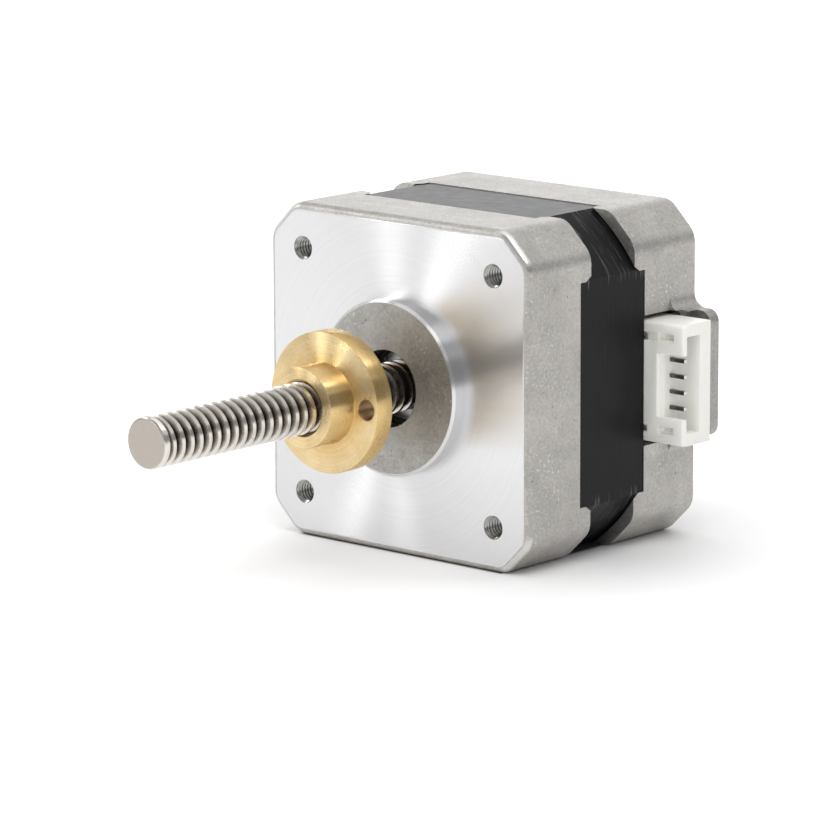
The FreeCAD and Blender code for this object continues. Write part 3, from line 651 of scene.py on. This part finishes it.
plainFinishes = {
    # painted shade: the inner bearing rings' steel is darkened deep in the bore
    "groundSteelWithPaintedShade": {"dark": rgb(0.22, 0.22, 0.225), "light": rgb(0.34, 0.34, 0.345), "metallic": 1.0,
                    "rough": 0.24, "scale": 900, "strength": 0.1},
    "tappedAluminium": {"dark": rgb(0.30, 0.30, 0.285), "light": rgb(0.50, 0.50, 0.48), "metallic": 1.0,
                        "rough": 0.22, "scale": 1500, "strength": 0.1},
    "rotorSteel": {"dark": rgb(0.26, 0.26, 0.27), "light": rgb(0.42, 0.42, 0.43), "metallic": 1.0,
                   "rough": 0.36, "scale": 800, "strength": 0.15},
    "platedSteel": {"dark": rgb(0.42, 0.42, 0.43), "light": rgb(0.6, 0.6, 0.61), "metallic": 1.0,
                    "rough": 0.3, "scale": 1200, "strength": 0.12},
    "nickelMagnet": {"dark": rgb(0.36, 0.35, 0.33), "light": rgb(0.5, 0.49, 0.46), "metallic": 1.0,
                     "rough": 0.3, "scale": 900, "strength": 0.1},
    # painted shade: the outer bearing rings are painted near black
    "paintedShadeBearingRing": {"dark": rgb(0.012, 0.012, 0.012), "light": rgb(0.025, 0.025, 0.024), "metallic": 0.0,
                 "rough": 0.4, "scale": 900, "strength": 0.1},
    "insulatorMoulding": {"dark": rgb(0.68, 0.66, 0.58), "light": rgb(0.78, 0.76, 0.69), "metallic": 0.0,
                          "rough": 0.5, "scale": 700, "strength": 0.12},
    "glassFibreBoard": {"dark": rgb(0.02, 0.10, 0.035), "light": rgb(0.035, 0.15, 0.055), "metallic": 0.0,
                        "rough": 0.4, "scale": 1500, "strength": 0.2}}
plainGrain = {"blotchDetail": 4.0, "roughDetail": 2.0, "roughScale": 3, "roughLow": 0.85, "roughHigh": 1.2,
              "bumpScale": 6, "depth": 0.02 * mm}


def makePlain(name, dark, light, metallic, rough, scale, strength):
    material, tree, shader = startMaterial(name)
    point = objectPoint(tree)
    blotch = mottle(tree, point, scale, detail=plainGrain["blotchDetail"])
    link(tree, mixColour(tree, blotch, dark, light), shader, "Base Color")
    sheen = mottle(tree, point, scale * plainGrain["roughScale"], rough * plainGrain["roughLow"],
                   rough * plainGrain["roughHigh"], plainGrain["roughDetail"])
    link(tree, sheen, shader, "Roughness")
    bump(tree, shader, noise(tree, point, scale * plainGrain["bumpScale"]), strength, plainGrain["depth"])
    setValues(shader, Metallic=metallic)
    return material


castCap = makeCastCap()
frontCapSkin = makeFrontCap()
stackSkin = makeStack()
brass = makeBrass()
screwSteel = makeScrewSteel()
plain = {name: makePlain(name, **look) for name, look in plainFinishes.items()}
pinMetal = makePinMetal()
ivory = makeConnectorPlastic()
copperWire = makeCopperWire()
print("finishes made")

cadFinishes = {
    "front_cap": frontCapSkin,
    "rear_cap": castCap,
    "stator_stack": stackSkin,
    "front_insulator": plain["insulatorMoulding"],
    "rear_insulator": plain["insulatorMoulding"],
    "phase_a_coils": copperWire,
    "phase_b_coils": copperWire,
    "case_screws": plain["platedSteel"],
    "front_bearing_outer_ring": plain["paintedShadeBearingRing"],
    "front_bearing_inner_ring": plain["groundSteelWithPaintedShade"],
    "rear_bearing_outer_ring": plain["paintedShadeBearingRing"],
    "rear_bearing_inner_ring": plain["groundSteelWithPaintedShade"],
    "wave_washer": plain["platedSteel"],
    "lead_screw": screwSteel,
    "rotor_cup_front": plain["rotorSteel"],
    "rotor_cup_rear": plain["rotorSteel"],
    "rotor_magnet": plain["nickelMagnet"],
    "front_spacer": plain["rotorSteel"],
    "rear_spacer": plain["rotorSteel"],
    "lead_nut": brass,
    "connector_pins": pinMetal,
    "connector_housing": ivory,
    "winding_board": plain["glassFibreBoard"]}
for name, material in cadFinishes.items():
    nodes[name].data.materials.clear()
    nodes[name].data.materials.append(material)
print("finishes set on the solids")


# lead screw: a right-hand trapezoid thread on the front, a plain journal behind

leadScrew = {
    "pitch": 1.5 * mm, "crest": 0.52 * mm, "root": 0.46 * mm, "depth": 0.8 * mm, "start": -46.16 * mm,
    "steps": 96, "turns": 32, "tipRound": 0.38 * mm, "tipSegments": 4, "collar": 0.8 * mm,
    "collarInset": 0.01 * mm, "trimGap": 0.02 * mm, "trimPast": 1 * mm, "journalRadius": 2.5 * mm,
    "journalSides": 64, "journalOverlap": 0.4 * mm, "shoulder": 1.0 * mm, "smooth": 35}


def buildLeadScrew():
    low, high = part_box("lead_screw")
    outer, shoulder, sides = high.x, leadScrew["shoulder"], leadScrew["steps"]
    thread = turnThread(leadScrew, outer, outer - leadScrew["depth"], low.y, shoulder)
    collar = addRod(outer - leadScrew["collarInset"], low.y, low.y + leadScrew["collar"], sides)
    combine(thread, collar, "UNION")
    envelope = addRod(outer + leadScrew["trimGap"], low.y, shoulder + leadScrew["trimPast"], sides)
    editMode(envelope)
    selectFaces(envelope, lambda middle, normal: normal.y < -facing)
    bpy.ops.mesh.bevel(offset=leadScrew["tipRound"], segments=leadScrew["tipSegments"], affect="EDGES")
    objectMode()
    combine(thread, envelope, "INTERSECT")
    journal = addRod(leadScrew["journalRadius"], shoulder - leadScrew["journalOverlap"], high.y,
                     leadScrew["journalSides"])
    combine(thread, journal, "UNION")
    finishPiece(thread, "leadScrewThread", "rotor", screwSteel, leadScrew["smooth"],
                ["lead_screw"])
    print("lead screw:", len(thread.data.polygons), "faces")


buildLeadScrew()


# lead nut: flange, hub and bore turned in one, with two drilled holes

leadNut = {
    "hubRadius": 5.0 * mm, "shoulder": -13.35 * mm, "bore": 3.235 * mm, "mouth": 3.55 * mm,
    "edge": 0.14 * mm, "fillet": 0.16 * mm, "roundShare": 0.3, "steps": 128, "holePlace": 6.85 * mm,
    "hole": 1.25 * mm, "sink": 0.1 * mm, "drillPast": 1 * mm, "drillSteps": 48, "smooth": 25}


def buildLeadNut():
    low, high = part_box("lead_nut")
    front, shoulder, rear = low.y, leadNut["shoulder"], high.y
    flange, hub, bore, mouth = high.x, leadNut["hubRadius"], leadNut["bore"], leadNut["mouth"]
    edge, fillet, sink = leadNut["edge"], leadNut["fillet"], mouth - bore
    bend, dip = leadNut["roundShare"] * edge, leadNut["roundShare"] * fillet
    nut = spinProfile([
        (mouth, front), (hub - edge, front), (hub - bend, front + bend), (hub, front + edge),
        (hub, shoulder - fillet), (hub + dip, shoulder - dip), (hub + fillet, shoulder),
        (flange - edge, shoulder), (flange - bend, shoulder + bend), (flange, shoulder + edge),
        (flange, rear - edge), (flange - bend, rear - bend), (flange - edge, rear), (mouth, rear),
        (bore, rear - sink), (bore, front + sink)], leadNut["steps"])
    hole, lip, past = leadNut["hole"], leadNut["sink"], leadNut["drillPast"]
    drill = spinProfile([
        (0, shoulder - past), (hole + lip, shoulder - past), (hole + lip, shoulder), (hole, shoulder + lip),
        (hole, rear - lip), (hole + lip, rear), (hole + lip, rear + past), (0, rear + past)],
        leadNut["drillSteps"])
    for side in (-1, 1):
        combine(nut, copyPiece(drill, (side * leadNut["holePlace"], 0, 0)), "DIFFERENCE")
    bpy.data.objects.remove(drill)
    finishPiece(nut, "turnedNut", "nut", brass, leadNut["smooth"], ["lead_nut"])
    print("lead nut:", len(nut.data.polygons), "faces")


buildLeadNut()


# tapped walls of the four mounting holes

tappedHole = {
    "place": 15.5 * mm, "wall": 1.497 * mm, "minor": 1.24 * mm, "spare": 0.05 * mm, "major": 1.475 * mm,
    "mouth": 0.1 * mm, "depth": 4.6 * mm, "sides": 64, "tapFrom": -0.5 * mm, "tapTo": 5.0 * mm,
    "smooth": 25}
holeTap = {
    "pitch": 0.5 * mm, "crest": 0.06 * mm, "root": 0.1 * mm, "start": -1.5 * mm, "steps": 40, "turns": 14}


def buildTappedHoles():
    wall, minor = tappedHole["wall"], tappedHole["minor"]
    mouth, depth = tappedHole["mouth"], tappedHole["depth"]
    inner = minor - tappedHole["spare"]
    sleeve = spinProfile([(wall, mouth), (wall, depth), (inner, depth), (inner, mouth + wall - minor)],
                         tappedHole["sides"])
    tap = turnThread(holeTap, tappedHole["major"], minor, tappedHole["tapFrom"], tappedHole["tapTo"])
    combine(sleeve, tap, "DIFFERENCE")
    sleeves = joinPieces(copyToCorners(sleeve, tappedHole["place"]))
    finishPiece(sleeves, "tappedMountingHoles", "housing", plain["tappedAluminium"],
                tappedHole["smooth"])
    print("tapped holes: 4")


buildTappedHoles()


# connector housing: an open box with a key opening, two windows and two notches in its front wall

header = {
    "frontWall": 22.95 * mm, "rearWall": 25.5 * mm, "innerHalf": 6.1 * mm, "floor": 23.65 * mm,
    "keyStart": 23.0 * mm, "keyLow": -4.25 * mm, "keyHigh": 3.75 * mm, "windowNear": 23.25 * mm,
    "windowFar": 25.65 * mm, "windowPlace": 5.9 * mm, "windowHalf": 0.5 * mm, "leadIn": 0.85 * mm,
    "frontRound": 0.5 * mm, "frontSegments": 4, "rimRound": 0.3 * mm, "rimSegments": 3, "edge": 0.1 * mm,
    "edgeSegments": 2, "notchEnd": 21.5 * mm, "notchDepth": 0.9 * mm, "upperNotch": (5.15 * mm, 6.2 * mm),
    "lowerNotch": (-6.35 * mm, -5.5 * mm), "channelEnd": 22.6 * mm, "channelDepth": 0.12 * mm,
    "past": 1 * mm, "overlap": 0.02 * mm, "channelOverlap": 0.1 * mm, "smooth": 40}


def buildConnector():
    low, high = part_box("connector_housing")
    box = addBlock(low, high)

    def cut(near, far):
        combine(box, addBlock(near, far), "DIFFERENCE")

    def onFront(a, b):
        return abs(a.y - low.y) < hair and abs(b.y - low.y) < hair

    def onRearWall(a, b):
        return abs(a.y - header["rearWall"]) < hair and abs(b.y - header["rearWall"]) < hair

    def onRim(a, b):
        return min(a.x, b.x) > high.x - hair

    editMode(box)
    selectEdges(box, lambda a, b: onFront(a, b) and abs(a.z - b.z) < hair)
    bpy.ops.mesh.bevel(offset=header["frontRound"], segments=header["frontSegments"], affect="EDGES")
    selectEdges(box, lambda a, b: onRim(a, b) and max(a.y, b.y) < low.y + header["frontRound"] + hair)
    bpy.ops.mesh.bevel(offset=header["rimRound"], segments=header["rimSegments"], affect="EDGES")
    objectMode()

    half, past = header["innerHalf"], header["past"]
    before, beyond, behindWall = low.y - past, high.x + past, header["frontWall"] + header["overlap"]
    cut((header["floor"], header["frontWall"], -half), (beyond, header["rearWall"], half))
    cut((header["keyStart"], before, header["keyLow"]), (beyond, behindWall, header["keyHigh"]))
    for place in (-header["windowPlace"], header["windowPlace"]):
        cut((header["windowNear"], before, place - header["windowHalf"]),
            (header["windowFar"], behindWall, place + header["windowHalf"]))
    for foot, top in (header["upperNotch"], header["lowerNotch"]):
        cut((low.x - past, before, foot), (header["notchEnd"], low.y + header["notchDepth"], top))
    foot, top = header["upperNotch"]
    cut((header["notchEnd"] - header["channelOverlap"], before, foot),
        (header["channelEnd"], low.y + header["channelDepth"], top))

    editMode(box)
    selectEdges(box, lambda a, b: onRim(a, b) and onRearWall(a, b))
    bpy.ops.mesh.bevel(offset=header["leadIn"], segments=1, affect="EDGES")
    objectMode()
    softenEdges(box, header["edge"], header["edgeSegments"], header["smooth"])
    finishPiece(box, "connectorShell", "housing", ivory, header["smooth"],
                ["connector_housing"])
    print("connector:", len(box.data.polygons), "faces")


buildConnector()


# connector pins: one bent pin with a tapered tip, copied along the socket

headerPin = {
    "half": 0.25 * mm, "tip": 26.0 * mm, "bend": 20.25 * mm, "tail": 19.75 * mm, "level": 24.225 * mm,
    "end": 29.2 * mm, "middle": -0.25 * mm, "pitch": 2.0 * mm, "count": 6, "taper": 0.12 * mm,
    "edge": 0.03 * mm, "edgeAngle": 60, "smooth": 30}


def buildPins():
    half, level, tip, bend = headerPin["half"], headerPin["level"], headerPin["tip"], headerPin["bend"]
    pitch, count = headerPin["pitch"], headerPin["count"]
    first = headerPin["middle"] - pitch * (count - 1) / 2
    pin = addBlock((headerPin["tail"], level - half, first - half), (tip, level + half, first + half))
    editMode(pin)
    selectAll()
    bpy.ops.mesh.bisect(plane_co=(bend, 0, 0), plane_no=(1, 0, 0))
    selectFaces(pin, lambda middle, normal: normal.y > facing and middle.x < bend)
    back = headerPin["end"] - level - half
    bpy.ops.mesh.extrude_region_move(TRANSFORM_OT_translate={"value": (0, back, 0)})
    selectFaces(pin, lambda middle, normal: normal.x > facing and middle.x > tip - hair)
    bpy.ops.mesh.bevel(offset=headerPin["taper"], segments=1, affect="EDGES")
    objectMode()
    softenEdges(pin, headerPin["edge"], 1, headerPin["edgeAngle"])
    copies = [copyPiece(pin, (0, 0, step * pitch)) for step in range(1, count)]
    pins = joinPieces([pin] + copies)
    finishPiece(pins, "headerPins", "housing", pinMetal, headerPin["smooth"],
                ["connector_pins"])
    print("pins:", count)


buildPins()


# case screws: a pan head with a cross recess on a long shank

caseScrew = {
    "place": 15.5 * mm, "shank": 1.25 * mm, "point": (0.3 * mm, 0.4 * mm), "head": 2.75 * mm,
    "seat": 30.8 * mm, "slotHalf": 0.36 * mm, "reach": 1.5 * mm, "recess": 1.1 * mm, "taper": 0.6,
    "past": 0.5 * mm, "sides": 64, "smooth": 30,
    "crown": [(0.0, 1.1 * mm), (0.12 * mm, 0.7 * mm), (0.45 * mm, 0.32 * mm), (1.0 * mm, 0.1 * mm),
              (1.7 * mm, 0.0)]}


def buildCaseScrews():
    low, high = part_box("case_screws")
    shank, head, seat = caseScrew["shank"], caseScrew["head"], caseScrew["seat"]
    start, top = low.y, high.y
    narrow, rise = caseScrew["point"]
    # crown points are given as in from the head's side and down from its top
    crown = [(head - inset, top - drop) for inset, drop in caseScrew["crown"]]
    stem = [(0, start), (shank - narrow, start), (shank, start + rise), (shank, seat), (head, seat)]
    screw = spinProfile(stem + crown + [(0, top)], caseScrew["sides"])
    floor, slot, reach = top - caseScrew["recess"], caseScrew["slotHalf"], caseScrew["reach"]
    for across, up in ((slot, reach), (reach, slot)):
        cutter = addBlock((-across, floor, -up), (across, top + caseScrew["past"], up))
        editMode(cutter)
        selectFaces(cutter, lambda middle, normal: normal.y < -facing)
        shrink = (caseScrew["taper"], 1, caseScrew["taper"])
        bpy.ops.transform.resize(value=shrink, center_override=(0, floor, 0))
        objectMode()
        combine(screw, cutter, "DIFFERENCE")
    screws = joinPieces(copyToCorners(screw, caseScrew["place"]))
    finishPiece(screws, "crossHeadScrews", "housing", plain["platedSteel"],
                caseScrew["smooth"], ["case_screws"])
    print("case screws: 4")


buildCaseScrews()


# camera, fitted to the mounting face and the holes

cameraView = {
    "place": (395.448 * mm, -445.540 * mm, 120.746 * mm), "right": (0.750682, 0.660655, -0.003524),
    "up": (-0.132306, 0.155557, 0.978926), "back": (0.647280, -0.734396, 0.204183), "lens": 215.234,
    "sensor": 36, "clipNear": 0.01, "clipFar": 20}


def addCamera():
    data = bpy.data.cameras.new("photoCamera")
    data.lens = cameraView["lens"]
    data.sensor_width = cameraView["sensor"]
    data.clip_start = cameraView["clipNear"]
    data.clip_end = cameraView["clipFar"]
    camera = bpy.data.objects.new("photoCamera", data)
    turn = Matrix((cameraView["right"], cameraView["up"], cameraView["back"])).transposed().to_4x4()
    camera.matrix_world = Matrix.Translation(cameraView["place"]) @ turn
    scene.collection.objects.link(camera)
    scene.camera = camera


addCamera()


# floor: a flat pale sheet, brighter away from the motor, with a painted shadow in the narrow gap below it

floorSheet = {
    "half": 3.0, "drop": 0.02 * mm, "colour": rgb(0.95, 0.95, 0.952), "grain": rgb(0.8, 0.8, 0.8),
    "grainScale": 30, "grainShare": 0.02, "rough": 0.7, "specular": 0.2, "gap": rgb(0.08, 0.08, 0.08),
    "gapMiddle": 16.5 * mm, "gapHalfAcross": 16.0 * mm, "gapHalfBack": 15.7 * mm, "gapEdge": 0.8 * mm,
    "glowMiddle": (0.002, 0.0165, -0.0212), "glowNear": 0.13, "glowFar": 0.3, "glowRange": (0.1, 0.4),
    "shadowRange": (0.026, 0.06)}


def makePaper():
    material, tree, shader = startMaterial("palePaper")
    point = objectPoint(tree)
    x, y, _ = split(tree, point)
    grain = noise(tree, point, floorSheet["grainScale"])
    grain = remap(tree, grain, *noiseSpan, 0.0, floorSheet["grainShare"])
    colour = mixColour(tree, grain, floorSheet["colour"], floorSheet["grain"])
    behind = absolute(tree, minus(tree, y, floorSheet["gapMiddle"]))
    outside = larger(tree, minus(tree, absolute(tree, x), floorSheet["gapHalfAcross"]),
                     minus(tree, behind, floorSheet["gapHalfBack"]))
    # painted shadow: the floor under the motor's footprint is painted near black
    inPaintedShadow = remap(tree, outside, floorSheet["gapEdge"], 0.0)
    link(tree, mixColour(tree, inPaintedShadow, colour, floorSheet["gap"]), shader, "Base Color")
    setValues(shader, Roughness=floorSheet["rough"], Specular_IOR_Level=floorSheet["specular"])
    away = addNode(tree, "ShaderNodeVectorMath", {"operation": "DISTANCE"}, i0=point,
                   i1=floorSheet["glowMiddle"]).outputs["Value"]
    glow = remap(tree, away, *floorSheet["glowRange"], floorSheet["glowNear"], floorSheet["glowFar"])
    glow = times(tree, glow, remap(tree, away, *floorSheet["shadowRange"]))
    seen = addNode(tree, "ShaderNodeLightPath").outputs["Is Camera Ray"]
    setValues(shader, Emission_Color=white)
    link(tree, times(tree, glow, seen), shader, "Emission Strength")
    return material


def addFloor():
    deselectAll()
    level = cadBox[0][2] - floorSheet["drop"]
    bpy.ops.mesh.primitive_plane_add(size=2 * floorSheet["half"], location=(0, 0, level))
    floor = bpy.context.object
    floor.name = "paleFloor"
    placeIntoMesh(floor)
    floor.data.materials.append(makePaper())


addFloor()


# lamps, all aimed at the origin, and a white tent round them

lamps = {
    "overhead": {"place": (0.0, 0.1, 1.2), "width": 1.5, "height": 1.5, "power": 4.0},
    "leftFront": {"place": (-0.9, -0.5, 0.7), "width": 0.28, "height": 0.28, "power": 2.0},
    "frontStrip": {"place": (-0.592, -0.975, 0.135), "width": 0.05, "height": 0.2, "power": 0.29},
    "frontPanel": {"place": (-0.755, -0.8, 0.31), "width": 0.16, "height": 0.2, "power": 0.36},
    "rightBack": {"place": (0.56, 0.54, 0.91), "width": 0.2, "height": 0.2, "power": 0.6},
    "leftBack": {"place": (-0.75, 0.95, 0.4), "width": 0.9, "height": 0.5, "power": 1.2},
    "upperRight": {"place": (0.52, -0.3, 1.05), "width": 0.5, "height": 0.5, "power": 2.2}}


def addLamp(name, place, width, height, power):
    data = bpy.data.lights.new(name, "AREA")
    data.shape = "RECTANGLE"
    data.size = width
    data.size_y = height
    data.energy = power
    lamp = bpy.data.objects.new(name, data)
    lamp.location = place
    lamp.rotation_euler = (-Vector(place)).to_track_quat("-Z", "Y").to_euler()
    scene.collection.objects.link(lamp)


for name, lamp in lamps.items():
    addLamp(name, **lamp)

studio = {
    "upper": 0.6, "upperRange": (0.3, 0.7), "front": 0.65, "frontRange": (-0.2, -0.6), "leftFront": 1.2,
    "rightBack": 0.5, "acrossShare": 0.65, "backShare": 0.75, "sideRange": (-0.7, 0.7), "darkWall": 0.28,
    "softWall": 0.35, "wallSide": (0.15, 0.4), "wallFoot": (0.0, 0.04), "wallSlope": 0.65,
    "wallTop": (0.06, -0.02), "backdrop": 1.0}


def addSurroundings():
    # mirrors see a tent that is darker overhead, matt pieces a softer one, both with a wall at the right
    world = bpy.data.worlds.new("whiteStudio")
    scene.world = world
    world.use_nodes = True
    tree = world.node_tree
    path = addNode(tree, "ShaderNodeLightPath").outputs
    x, y, z = split(tree, addNode(tree, "ShaderNodeTexCoord").outputs["Generated"])
    tent = times(tree, remap(tree, z, *studio["upperRange"], 1.0, studio["upper"]),
                 remap(tree, y, *studio["frontRange"], 1.0, studio["front"]))
    side = plus(tree, times(tree, x, studio["acrossShare"]), times(tree, y, studio["backShare"]))
    soft = remap(tree, side, *studio["sideRange"], studio["leftFront"], studio["rightBack"])
    wall = times(tree, remap(tree, x, *studio["wallSide"]), remap(tree, z, *studio["wallFoot"]))
    slope = minus(tree, z, times(tree, x, studio["wallSlope"]))
    wall = times(tree, wall, remap(tree, slope, *studio["wallTop"]))
    tent = mixNumber(tree, wall, tent, studio["darkWall"])
    soft = mixNumber(tree, wall, soft, studio["softWall"])
    mirrored = larger(tree, path["Is Glossy Ray"], path["Is Transmission Ray"])
    light = mixNumber(tree, mirrored, soft, tent)
    background = tree.nodes["Background"]
    setValues(background, Color=white)
    strength = mixNumber(tree, path["Is Camera Ray"], light, studio["backdrop"])
    link(tree, strength, background, "Strength")


addSurroundings()
print("camera, floor and lamps placed")
